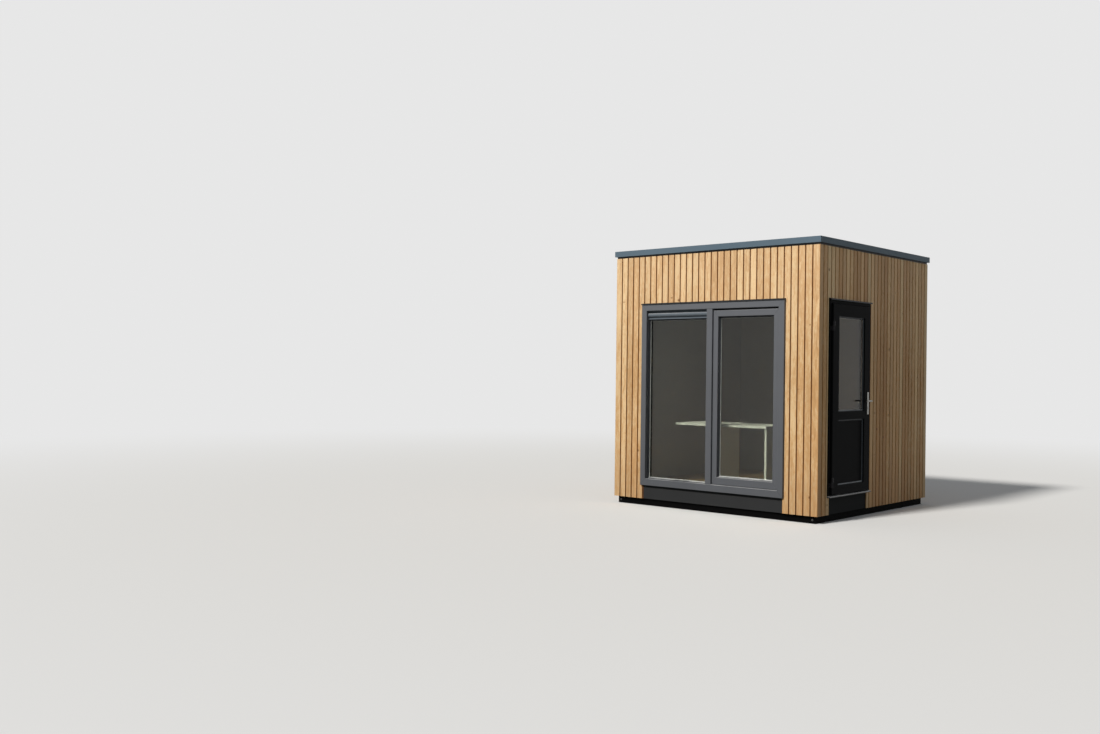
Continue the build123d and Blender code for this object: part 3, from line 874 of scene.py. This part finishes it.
@dataclass
class BoardWall:
    """Vertical boards on one wall, tongued into each other with a shadow gap, mitred at both corners.

    Spread is how far the boards' random values go from the middle, and pith holds the ranges in
    which the middle of a board's log is drawn, beside, along and behind the board.
    """

    wall: Wall
    name: str
    replaces: tuple[str, ...]
    cuts: tuple[Cut, ...]
    seed: int
    spread: float
    pitch: float = 0.084
    count: int = 32
    gap: float = 0.0128
    thickness: float = 0.020
    ease: float = 0.0022
    bend_points: int = 4
    tongue_set: float = 0.010
    tongue: float = 0.008
    bottom: float = 0.080
    top: float = 2.915
    least_width: float = 0.002
    pith: tuple[Pair, ...] = ((-0.05, 0.05), (0.0, 40.0), (-0.09, -0.02))

    @property
    def face(self) -> float:
        """Distance of the boards' face from the middle of the pod."""
        return self.pitch * self.count / 2

    def outline(self, left: float, right: float, last: bool) -> np.ndarray:
        """Plan outline of one board, as places along the wall and depths under the face.

        The front corners are quarter rounds: place = edge + ease (1 - sin t), depth = ease (1 - cos t).

        Args:
            left: the board's left edge.
            right: its right edge.
            last: whether it is the last board, which has no tongue.

        Returns:
            Rows of place and depth, round the board.
        """
        turn = np.linspace(0.0, math.pi / 2, self.bend_points)
        bend = np.stack((self.ease * (1 - np.sin(turn)), self.ease * (1 - np.cos(turn))), axis=1)
        near = np.array((left, 0.0)) + bend
        far = np.array((right, 0.0)) + bend * np.array((-1.0, 1.0))
        reach = right if last else right + self.gap
        front, back = self.tongue_set, self.tongue_set + self.tongue
        tongue = ((right, front), (reach, front), (reach, back), (right, back))
        return np.concatenate((near[::-1], far, tongue, ((right, self.thickness), (left, self.thickness))))

    def stations(self, left: float, right: float) -> list[Triple]:
        """Heights at which a board's limits change, with the limits along the wall there.

        A cut that takes in the whole board starts or ends it; one that takes a side moves a limit.
        Each change of limit is two stations at one height, which makes a ledge.

        Args:
            left: the board's left edge.
            right: its right edge.

        Returns:
            Height, left limit and right limit, from the bottom up.
        """
        levels = sorted({self.bottom, self.top, *(z for c in self.cuts for z in (c.bottom, c.top))})
        found: list[Triple] = []
        for low, high in zip(levels, levels[1:]):
            start, end = -self.face, self.face
            for cut in self.cuts:
                if cut.bottom <= low and high <= cut.top and cut.left < right and left < cut.right:
                    if cut.left <= left and right <= cut.right:
                        start, end = right, left
                    elif cut.left > left:
                        end = min(end, cut.left)
                    else:
                        start = max(start, cut.right)
            if start < end - self.least_width and end > left and start < right:
                found += [(low, start, end), (high, start, end)]
        return found

    def board(self, index: int, chance: np.random.Generator) -> Optional[Shape]:
        """One board: its outline carried up through its stations and held between their limits.

        Args:
            index: the board's number, from the left.
            chance: the source of its random values.

        Returns:
            The board, or nothing where the wall's cuts take all of it.
        """
        start, last = -self.face + index * self.pitch, index == self.count - 1
        left = start + (self.gap / 2 if index else 0.0)
        right = start + self.pitch - (0.0 if last else self.gap / 2)
        luck = 0.5 + (chance.random(3) - 0.5) * self.spread
        pith = np.array([chance.uniform(*limits) for limits in self.pith])
        levels = self.stations(left, right)
        if not levels:
            return None
        plan = self.outline(left, right, last)
        heights, lows, highs = (np.array(column)[:, None] for column in zip(*levels))
        tall, depth = np.broadcast_arrays(heights, plan[:, 1])
        lows, highs = np.maximum(lows, depth - self.face), np.minimum(highs, self.face - depth)
        across = np.clip(plan[:, 0], lows, highs)
        off = across - (left + right) / 2
        kept = {
            "log": np.stack((off, tall, depth), axis=-1) + pith,
            "board": np.broadcast_to(luck, (*off.shape, 3)),
            "edge": np.stack((off / ((right - left) / 2), depth, tall), axis=-1),
        }
        return loft(self.wall.place(across, self.face - depth, tall), kept)

    def build(self) -> None:
        """Make all the wall's boards, as one piece."""
        chance = np.random.default_rng(self.seed)
        boards = [board for i in range(self.count) if (board := self.board(i, chance))]
        add_piece(self.name, boards, StainedBoards(), replaces=self.replaces)


@dataclass
class Cladding:
    """Boards on all four walls, the front wall's the most alike, and level battens behind them."""

    front_spread: float = 0.5
    side_spread: float = 1.5
    first_seed: int = 11
    batten_heights: tuple[float, ...] = (0.10, 0.62, 1.14, 1.66, 2.18, 2.56, 2.86)
    batten_height: float = 0.045
    batten_depth: Pair = (1.2985, 1.3235)
    batten_reach: float = 1.2975
    batten_clear: float = 0.004
    window: tuple[Cut, ...] = (Cut(-0.950, 0.950, 0.239, 2.3675), Cut(-0.926, 0.926, 0.080, 0.239))
    door: tuple[Cut, ...] = (Cut(-1.143, -0.189, 0.261, 2.3695), Cut(-1.097, -0.235, 0.080, 0.261))
    feet: str = "cladding_feet"

    def build(self) -> None:
        """Make the boards of each wall, then the battens."""
        front = [f"front_cladding_{part}" for part in ("sides", "head")]
        door_wall = [f"door_wall_cladding_{part}" for part in ("front", "rear", "head")]
        walls = (
            (Wall.FRONT, "front_boards", (*front, self.feet), self.window),
            (Wall.DOOR, "door_wall_boards", (*door_wall, self.feet), self.door),
            (Wall.BACK, "back_boards", ("back_cladding",), ()),
            (Wall.LEFT, "left_boards", ("left_cladding",), ()),
        )
        for seed, (wall, name, replaces, cuts) in enumerate(walls, start=self.first_seed):
            spread = self.front_spread if wall is Wall.FRONT else self.side_spread
            BoardWall(wall, name, replaces, cuts, seed, spread).build()
        battens = [batten for wall, _, _, cuts in walls for batten in self.battens(wall, cuts[:1])]
        black = CoatedMetal("batten_black", (0.02, 0.018, 0.016), 0.75)
        add_piece("cladding_battens", battens, black)

    def battens(self, wall: Wall, openings: Sequence[Cut]) -> list[Shape]:
        """Level battens of one wall, stopped at its opening.

        Args:
            wall: the wall.
            openings: its opening, if it has one.

        Returns:
            The battens.
        """
        found = []
        for low in self.batten_heights:
            high = low + self.batten_height
            spans = [(-self.batten_reach, self.batten_reach)]
            for cut in openings:
                if cut.bottom < high and low < cut.top:
                    left, right = cut.left - self.batten_clear, cut.right + self.batten_clear
                    spans = [(-self.batten_reach, left), (right, self.batten_reach)]
            found += [bar(wall, span, self.batten_depth, (low, high)) for span in spans]
        return found


@dataclass(frozen=True)
class Pane:
    """One framed pane: the opening in its frame, and where its outer face is."""

    wall: Wall
    middle: Pair
    size: Pair
    face: float
    body: str
    glazed: bool = True

    def ring(self, profile: np.ndarray) -> Shape:
        """A ring round the pane, its profile in insets and distances out from the pane's face."""
        return ring(self.wall, self.middle, self.size, profile + (0.0, self.face))


@dataclass
class Glazing:
    """Rubber gaskets against the panes, and the pale spacers inside them; the window's gaskets are lightened
    as a painted highlight, and the spacers' blue-white is partly a painted reflection of the sky.

    Spacer is a spacer's profile, in insets and distances out from the pane's face.
    """

    panes: tuple[Pane, ...] = (
        Pane(Wall.FRONT, (-0.4565, 1.249), (0.837, 1.862), 1.303, "pod"),
        Pane(Wall.FRONT, (0.4565, 1.296), (0.705, 1.788), 1.309, "pod"),
        Pane(Wall.DOOR, (-0.666, 1.6745), (0.592, 1.013), 1.352, "door"),
        Pane(Wall.DOOR, (-0.666, 0.731), (0.592, 0.694), 1.352, "door", glazed=False),
    )
    bead: float = 0.014
    gasket: float = 0.0018
    spacer: tuple[Pair, ...] = (
        (0.006, -0.0045),
        (0.0165, -0.0045),
        (0.0175, -0.0055),
        (0.0175, -0.0175),
        (0.0165, -0.0185),
        (0.006, -0.0185),
    )

    def build(self) -> None:
        """Make the gaskets and spacers of the window and of the door."""
        # the window's gaskets are grey rather than black: a painted highlight along the panes' edges
        pale = SealRubber("window_gasket_rubber", (0.10, 0.10, 0.106), (0.26, 0.26, 0.25))
        black = SealRubber("door_gasket_rubber")
        # the spacers' pale blue-white is partly their own light colour and partly a painted reflection of the
        # sky
        silver = Laminate("spacer_grey", (0.90, 0.92, 0.95), 0.5)
        gasket, spacer = circle(self.bead, self.gasket / 2, self.gasket), np.array(self.spacer)
        for body, name, rubber in (("pod", "window", pale), ("door", "door", black)):
            panes = [pane for pane in self.panes if pane.body == body]
            add_piece(f"{name}_gaskets", [pane.ring(gasket) for pane in panes], rubber, body)
            spacers = [pane.ring(spacer) for pane in panes if pane.glazed]
            add_piece(f"{name}_spacers", spacers, silver, body)


@dataclass(frozen=True)
class Head:
    """A head turned about an axis out of a wall, part round and part six-sided.

    A row is a radius r in units of the head's own, a height h and a share s. At angle t the point
    stands at radius r (1 + s (k - 1)), where k = 1 / cos(t to the middle of its sixth of a turn),
    and h over the seat. Count is how many points go round, a multiple of six.
    """

    radius: float
    count: int
    rows: Rows

    def at(self, wall: Wall, across: float, height: float, seat: float) -> Shape:
        """The head in its place.

        Args:
            wall: the wall that it is on.
            across: its middle, along the wall.
            height: its middle's height.
            seat: its seat's distance from the pod's middle.

        Returns:
            The head.
        """
        turn, sixth = np.arange(self.count) * math.tau / self.count, math.tau / 6
        corner = 1 / np.cos((turn + sixth / 2) % sixth - sixth / 2)
        size, rise, share = (np.array(column)[:, None] for column in zip(*self.rows))
        radius = size * self.radius * (1 + share * (corner - 1))
        return loft(wall.place(across + radius * np.cos(turn), seat + rise, height + radius * np.sin(turn)))


@dataclass
class Fasteners:
    """Domed screws with sockets in the hinges and handle plates, and bolts on washers in the base.

    A line is a place along the wall and the seat's distance from the pod's middle.
    """

    dome: Rows = ((1.0, -0.0002, 0.0), (1.0, 0.0003, 0.0), (0.85, 0.0009, 0.0), (0.55, 0.0012, 0.0))
    socket: Rows = ((0.48, 0.0011, 1.0), (0.46, 0.0004, 1.0), (0.05, 0.0004, 1.0))
    washer: Rows = ((1.5, -0.0005, 0.0), (1.5, 0.0018, 0.0), (1.4, 0.0024, 0.0))
    hexagon: Rows = ((0.84, 0.0025, 1.0), (0.84, 0.0078, 1.0), (0.78, 0.0090, 0.7), (0.05, 0.0094, 0.0))
    screw: Head = Head(0.0036, 18, dome + socket)
    bolt: Head = Head(0.0078, 24, washer + hexagon)
    hinges: Pair = (0.419, 2.076)
    hinge_steps: Pair = (0.014, 0.037)
    leaf_line: Pair = (-1.069, 1.379)
    post_line: Pair = (-1.121, 1.359)
    plate_line: Pair = (-0.292, 1.384)
    plate_middle: float = 1.248
    plate_steps: Pair = (-0.109, 0.109)
    bolt_line: Pair = (1.268, 1.306)
    bolt_height: float = 0.038

    def screws(self, line: Pair, heights: Sequence[float]) -> list[Shape]:
        """Screw heads in a line on the door's wall, at some heights."""
        return [self.screw.at(Wall.DOOR, line[0], height, line[1]) for height in heights]

    def build(self) -> None:
        """Make the fasteners, each set on the body that it holds to."""
        dark = CoatedMetal("screw_black", (0.02, 0.02, 0.022), 0.32)
        steel = BrushedMetal("screw_steel", (0.60, 0.60, 0.59), 0.3)
        zinc = BrushedMetal("bolt_zinc", (0.09, 0.09, 0.088), 0.5)
        leaf = self.screws(self.leaf_line, [z + step for z in self.hinges for step in self.hinge_steps])
        post = self.screws(self.post_line, [z - step for z in self.hinges for step in self.hinge_steps])
        plates = self.screws(self.plate_line, [self.plate_middle + step for step in self.plate_steps])
        place, seat = self.bolt_line
        ends = [(wall, side * place) for wall in (Wall.FRONT, Wall.BACK) for side in (-1, 1)]
        bolts = [self.bolt.at(wall, across, self.bolt_height, seat) for wall, across in ends]
        add_piece("door_hinge_leaf_screws", leaf, dark, "door")
        add_piece("door_hinge_frame_screws", post, dark)
        add_piece("door_handle_screws", plates, steel, "door")
        add_piece("plinth_bolts", bolts, zinc)


@dataclass
class Joinery:
    """The window, the door and their flashings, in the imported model's own shapes, with the door's seal."""

    seal_middle: Pair = (-0.666, 1.3005)
    seal_size: Pair = (0.848, 2.017)
    seal_out: float = 1.3144
    seal_radius: float = 0.0031
    frame_seams: tuple[Seam, ...] = (
        Seam((0.945, 2.360), (0.875, 2.278)),
        Seam((0.945, 0.240), (0.875, 0.318)),
        Seam((0.038, 2.278), (0.0, 2.278)),
        Seam((0.038, 0.318), (0.0, 0.318)),
    )
    sash_seams: tuple[Seam, ...] = (
        Seam((0.871, 2.258), (0.809, 2.190)),
        Seam((0.042, 2.258), (0.104, 2.190)),
        Seam((0.042, 0.322), (0.104, 0.402)),
        Seam((0.871, 0.322), (0.809, 0.402)),
    )

    def dress_window(self) -> None:
        """Dress the frame, the opening light, the beads, the ventilator and the glass."""
        # on the frame, beads and vent the pale dust colours with large shares are painted highlights on what
        # faces up, such as the sill and the bottom beads, as well as dust
        coating = CoatedMetal(
            "frame_coating",
            (0.131, 0.138, 0.154),
            dust=(0.60, 0.61, 0.62),
            dust_and_highlight_share=0.75,
            film_share=0.03,
            specular=0.12,
            # painted sky reflection, lighter towards the top of the window
            painted_sky_sheen=0.17,
            seam_plane=SeamPlane.FRONT_MIRRORED,
            seams=self.frame_seams,
        )
        sash = replace(coating, name="sash_coating", seam_plane=SeamPlane.FRONT, seams=self.sash_seams)
        # near-white on upward faces: a painted highlight
        plain = replace(coating, dust=(0.85, 0.86, 0.86), seams=())
        dress(coating, "window_posts", "window_rails")
        dress(sash, "sash_stiles", "sash_rails")
        bead = replace(plain, name="bead_coating", colour=(0.035, 0.038, 0.044), dust_and_highlight_share=1.0)
        # the vent's bluer colour is partly its own coat and partly a painted reflection of the sky
        vent = replace(plain, name="vent_coating", colour=(0.118, 0.140, 0.165), dust_and_highlight_share=0.4)
        dress(bead, "window_stops", "window_beads")
        dress(vent, "window_vent")
        dress(TintedGlass(), "window_glass")

    def dress_door(self) -> None:
        """Dress the door, its beads and glass, its hinges and handle, and its threshold."""
        black = CoatedMetal(
            "black_coating", (0.0056, 0.006, 0.0067), dust_and_highlight_share=0.02, film_share=0.004, specular=0.013
        )
        gloss = replace(
            black,
            name="bead_gloss",
            # a faint blue, partly a painted reflection of the sky
            colour=(0.018, 0.026, 0.036),
            roughness=0.25,
            # pale blue on what faces up: a painted highlight
            dust=(0.62, 0.65, 0.68),
            dust_and_highlight_share=1.0,
            film_share=0.01,
            specular=0.22,
        )
        fittings = CoatedMetal(
            "fittings_black", (0.012, 0.012, 0.014), 0.36, dust_and_highlight_share=0.1, film_share=0.01, specular=0.06
        )
        dress(black, "door_frame", "door_leaf", "door_panel")
        dress(gloss, "door_beads")
        dress(TintedGlass("door_glass_tint", (0.28, 0.255, 0.21), mirror_index=1.25), "door_glass")
        dress(fittings, "door_hinge_fixed_halves", "door_hinge_leaf_halves")
        dress(BrushedMetal("satin_steel", (0.27, 0.268, 0.255)), "door_handle_plates", "door_lever")
        dress(TreadShadedBelow(), "door_threshold")

    def build(self) -> None:
        """Dress the window and the door and what is over and under them, and add the door's seal."""
        self.dress_window()
        self.dress_door()
        apron = CoatedMetal(
            "apron_coating", (0.039, 0.040, 0.042), 0.5, dust_and_highlight_share=0.05, film_share=0.008, specular=0.003
        )
        flashing = CoatedMetal("flashing_coating", (0.036, 0.038, 0.042), 0.4, dust_and_highlight_share=0.2, specular=0.15)
        dress(apron, "apron_panels")
        dress(flashing, "head_flashings")
        profile = circle(0.0, self.seal_out, self.seal_radius)
        seal = ring(Wall.DOOR, self.seal_middle, self.seal_size, profile)
        add_piece("door_seal", [seal], SealRubber("door_seal_rubber"))


@dataclass
class Shell:
    """Base, wall panels, floor, desk and roof edge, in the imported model's own shapes."""

    trim_seam: Seam = Seam((1.362, 1.362), (1.270, 1.270), 0.0012)

    def build(self) -> None:
        """Dress the base, the walls, the floor, the desk and the roof's edge."""
        plinth = CoatedMetal(
            "plinth_black", (0.0025, 0.0025, 0.0026), 0.7, dust_and_highlight_share=0.01, film_share=0.003, specular=0.03
        )
        trim = CoatedMetal(
            "trim_coating",
            # the trim's blue is partly its own blue-grey coat and partly a painted reflection of the sky
            (0.132, 0.187, 0.240),
            0.4,
            film_share=0.03,
            specular=0.08,
            seam_plane=SeamPlane.ROOF_MIRRORED,
            seams=(self.trim_seam,),
        )
        dress(plinth, "plinth_bearers", "plinth_ends")
        dress(WallPanel(), "left_wall", "back_wall", "front_wall_sides", "front_wall_head")
        dress(WallPanel(), "door_wall_front", "door_wall_rear", "door_wall_head", "floor_panel", "roof_panel")
        dress(OakBoards(), "floor_boarding")
        dress(trim, "roof_trims_front_and_back", "roof_trims_right_and_left")
        dress(CoatedMetal("kerb_black", (0.02, 0.02, 0.02), 0.6), "roof_kerb")
        dress(Laminate("white_laminate", (0.78, 0.78, 0.76)), "desk_top", "desk_panels")


@dataclass
class RoofSheets:
    """The roof sheets, each lapped over the one beside it, between the inner edges of the trims."""

    half: float = 1.274
    bottom: float = 2.9155
    top: float = 2.960
    points: int = 37
    laps: Pair = (-0.425, 0.425)
    lap_rise: float = 0.0006
    lap_width: float = 0.045
    lap_slope: float = 0.030
    lap_height: float = 0.0022
    swell: float = 0.0005

    def height(self, x: np.ndarray, y: np.ndarray) -> np.ndarray:
        """Height of the sheets: top + swell sin(7.1 x + 1.3) sin(5.3 y + 0.4), and over each lap a step.

        The step goes up at the lap's line, stays up for its width and runs out over its slope.

        Args:
            x: places across the sheets.
            y: places along them.

        Returns:
            The heights.
        """
        found = self.top + self.swell * np.sin(7.1 * x + 1.3) * np.sin(5.3 * y + 0.4)
        for lap in self.laps:
            up = np.clip((x - lap) / self.lap_rise, 0.0, 1.0)
            down = np.clip((lap + self.lap_width + self.lap_slope - x) / self.lap_slope, 0.0, 1.0)
            found = found + self.lap_height * up * down
        return found

    def build(self) -> None:
        """Make the sheets: their cross-section along X, closed under them, carried along Y."""
        even = np.linspace(-self.half, self.half, self.points)
        steps = np.array((0.0, self.lap_rise, self.lap_width, self.lap_width + self.lap_slope))
        x, y = np.meshgrid(np.sort(np.concatenate((even, *(lap + steps for lap in self.laps)))), even)
        upper = np.stack((x, y, self.height(x, y)), axis=-1)
        under = np.stack((x[:, [-1, 0]], y[:, [-1, 0]], np.full((self.points, 2), self.bottom)), axis=-1)
        sheets = loft(np.concatenate((upper, under), axis=1))
        add_piece("roof_sheets", [sheets], RoofRubber(), replaces=("roof_membrane",))


@dataclass(frozen=True)
class FloorPaint(Finish):
    """Matt pale floor that throws less light up than it shows, and fades into the backdrop."""

    name: str = "studio_floor"
    colour: Colour = (0.84, 0.84, 0.835)
    bounce: Colour = (0.145, 0.15, 0.13)
    backdrop: Colour = (0.80, 0.80, 0.80)
    near: float = 4.5
    far: float = 18.0

    def fill(self, s: Shader) -> None:
        """Paint near the pod, and an even glow of the backdrop's colour from far on.

        Args:
            s: the shader, empty.
        """
        x, y, _ = s.place().parts()
        seen = s.seen()
        fade = (x * x + y * y).root().rise(self.near, self.far)
        paint = s.node("BsdfDiffuse", inputs={"Color": s.blend(seen, self.bounce, self.colour)})
        glow = s.node("Emission", inputs={"Color": self.backdrop, "Strength": 1.0})
        s.output(s.node("MixShader", inputs={0: fade * seen, 1: paint, 2: glow}))


@dataclass
class Studio:
    """Pale floor, one soft sun and an even sky, and the camera at the photograph's place.

    Lengths are in metres and angles in degrees; the lens and its sensor are in millimetres.
    """

    floor: FloorPaint = FloorPaint()
    floor_rings: tuple[float, ...] = (0.0005, 3.0, 8.0, 20.0, 60.0)
    floor_sides: int = 96
    sky: float = 0.24
    sky_colour: Colour = (0.94, 0.97, 1.0)
    sun: float = 3.0
    sun_colour: Colour = (1.0, 0.97, 0.92)
    sun_left: float = 8.0
    sun_height: float = 40.0
    sun_width: float = 8.0
    position: Triple = (6.941, -11.745, 1.560)
    yaw: float = -41.951
    pitch: float = 0.216
    roll: float = 0.7
    lens: float = 36.196
    sensor: float = 36.0
    reach: float = 500.0

    def add_floor(self) -> None:
        """A disc: rings of radius r at angle t, x = r cos t, y = r sin t, the smallest ring filled."""
        angles = np.arange(self.floor_sides) * math.tau / self.floor_sides
        radius, angle = np.meshgrid(self.floor_rings, angles, indexing="ij")
        rings = np.stack((radius * np.cos(angle), radius * np.sin(angle), np.zeros_like(radius)), axis=-1)
        mesh = bpy.data.meshes.new("floor")
        faces = grid_faces(*rings.shape[:2]).tolist() + [list(range(self.floor_sides))]
        mesh.from_pydata(rings.reshape(-1, 3).tolist(), [], faces)
        mesh.materials.append(self.floor.build())
        floor = show("floor", mesh)

    def add_light(self) -> None:
        """A soft sun from the front left and an even sky."""
        lamp = bpy.data.lights.new("sun", "SUN")
        lamp.energy, lamp.angle, lamp.color = self.sun, math.radians(self.sun_width), self.sun_colour
        turn = (math.radians(90 - self.sun_height), 0.0, math.radians(-self.sun_left))
        show("sun", lamp).rotation_euler = turn
        world = bpy.data.worlds.new("studio")
        world.use_nodes = True
        bpy.context.scene.world = world
        s = Shader(world.node_tree)
        fill = s.node("Background", inputs={"Color": self.sky_colour, "Strength": self.sky})
        back = s.node("Background", inputs={"Color": self.floor.backdrop, "Strength": 1.0})
        s.output(s.node("MixShader", inputs={0: s.seen(), 1: fill, 2: back}), "OutputWorld")

    def add_camera(self) -> None:
        """The camera, turned by yaw, pitch and roll.

        It looks along (sin yaw cos pitch, cos yaw cos pitch, sin pitch).
        """
        yaw, pitch, roll = (math.radians(angle) for angle in (self.yaw, self.pitch, self.roll))
        ahead = np.array((math.sin(yaw) * math.cos(pitch), math.cos(yaw) * math.cos(pitch), math.sin(pitch)))
        level = np.array((math.cos(yaw), -math.sin(yaw), 0.0))
        upright = np.cross(level, ahead)
        right = math.cos(roll) * level + math.sin(roll) * upright
        up = math.cos(roll) * upright - math.sin(roll) * level
        turn = np.eye(4)
        turn[:3] = np.stack((right, up, -ahead, self.position), axis=1)
        lens = bpy.data.cameras.new("camera")
        lens.lens, lens.sensor_width, lens.clip_end = self.lens, self.sensor, self.reach
        camera = show("camera", lens)
        camera.matrix_world = Matrix(turn.tolist())
        bpy.context.scene.camera = camera

    def build(self) -> None:
        """Make the floor, the lights and the camera."""
        self.add_floor()
        self.add_light()
        self.add_camera()
        bpy.context.scene.view_settings.view_transform = "Standard"


def main() -> None:
    """Build the pod's looks in order, then the studio round it."""
    logging.basicConfig(level=logging.INFO, format="%(name)s: %(message)s")
    for part in (Cladding(), Joinery(), Glazing(), Fasteners(), Shell(), RoofSheets(), Studio()):
        part.build()
        log.info("%s: done", type(part).__name__)


if __name__ == "__main__":
    main()
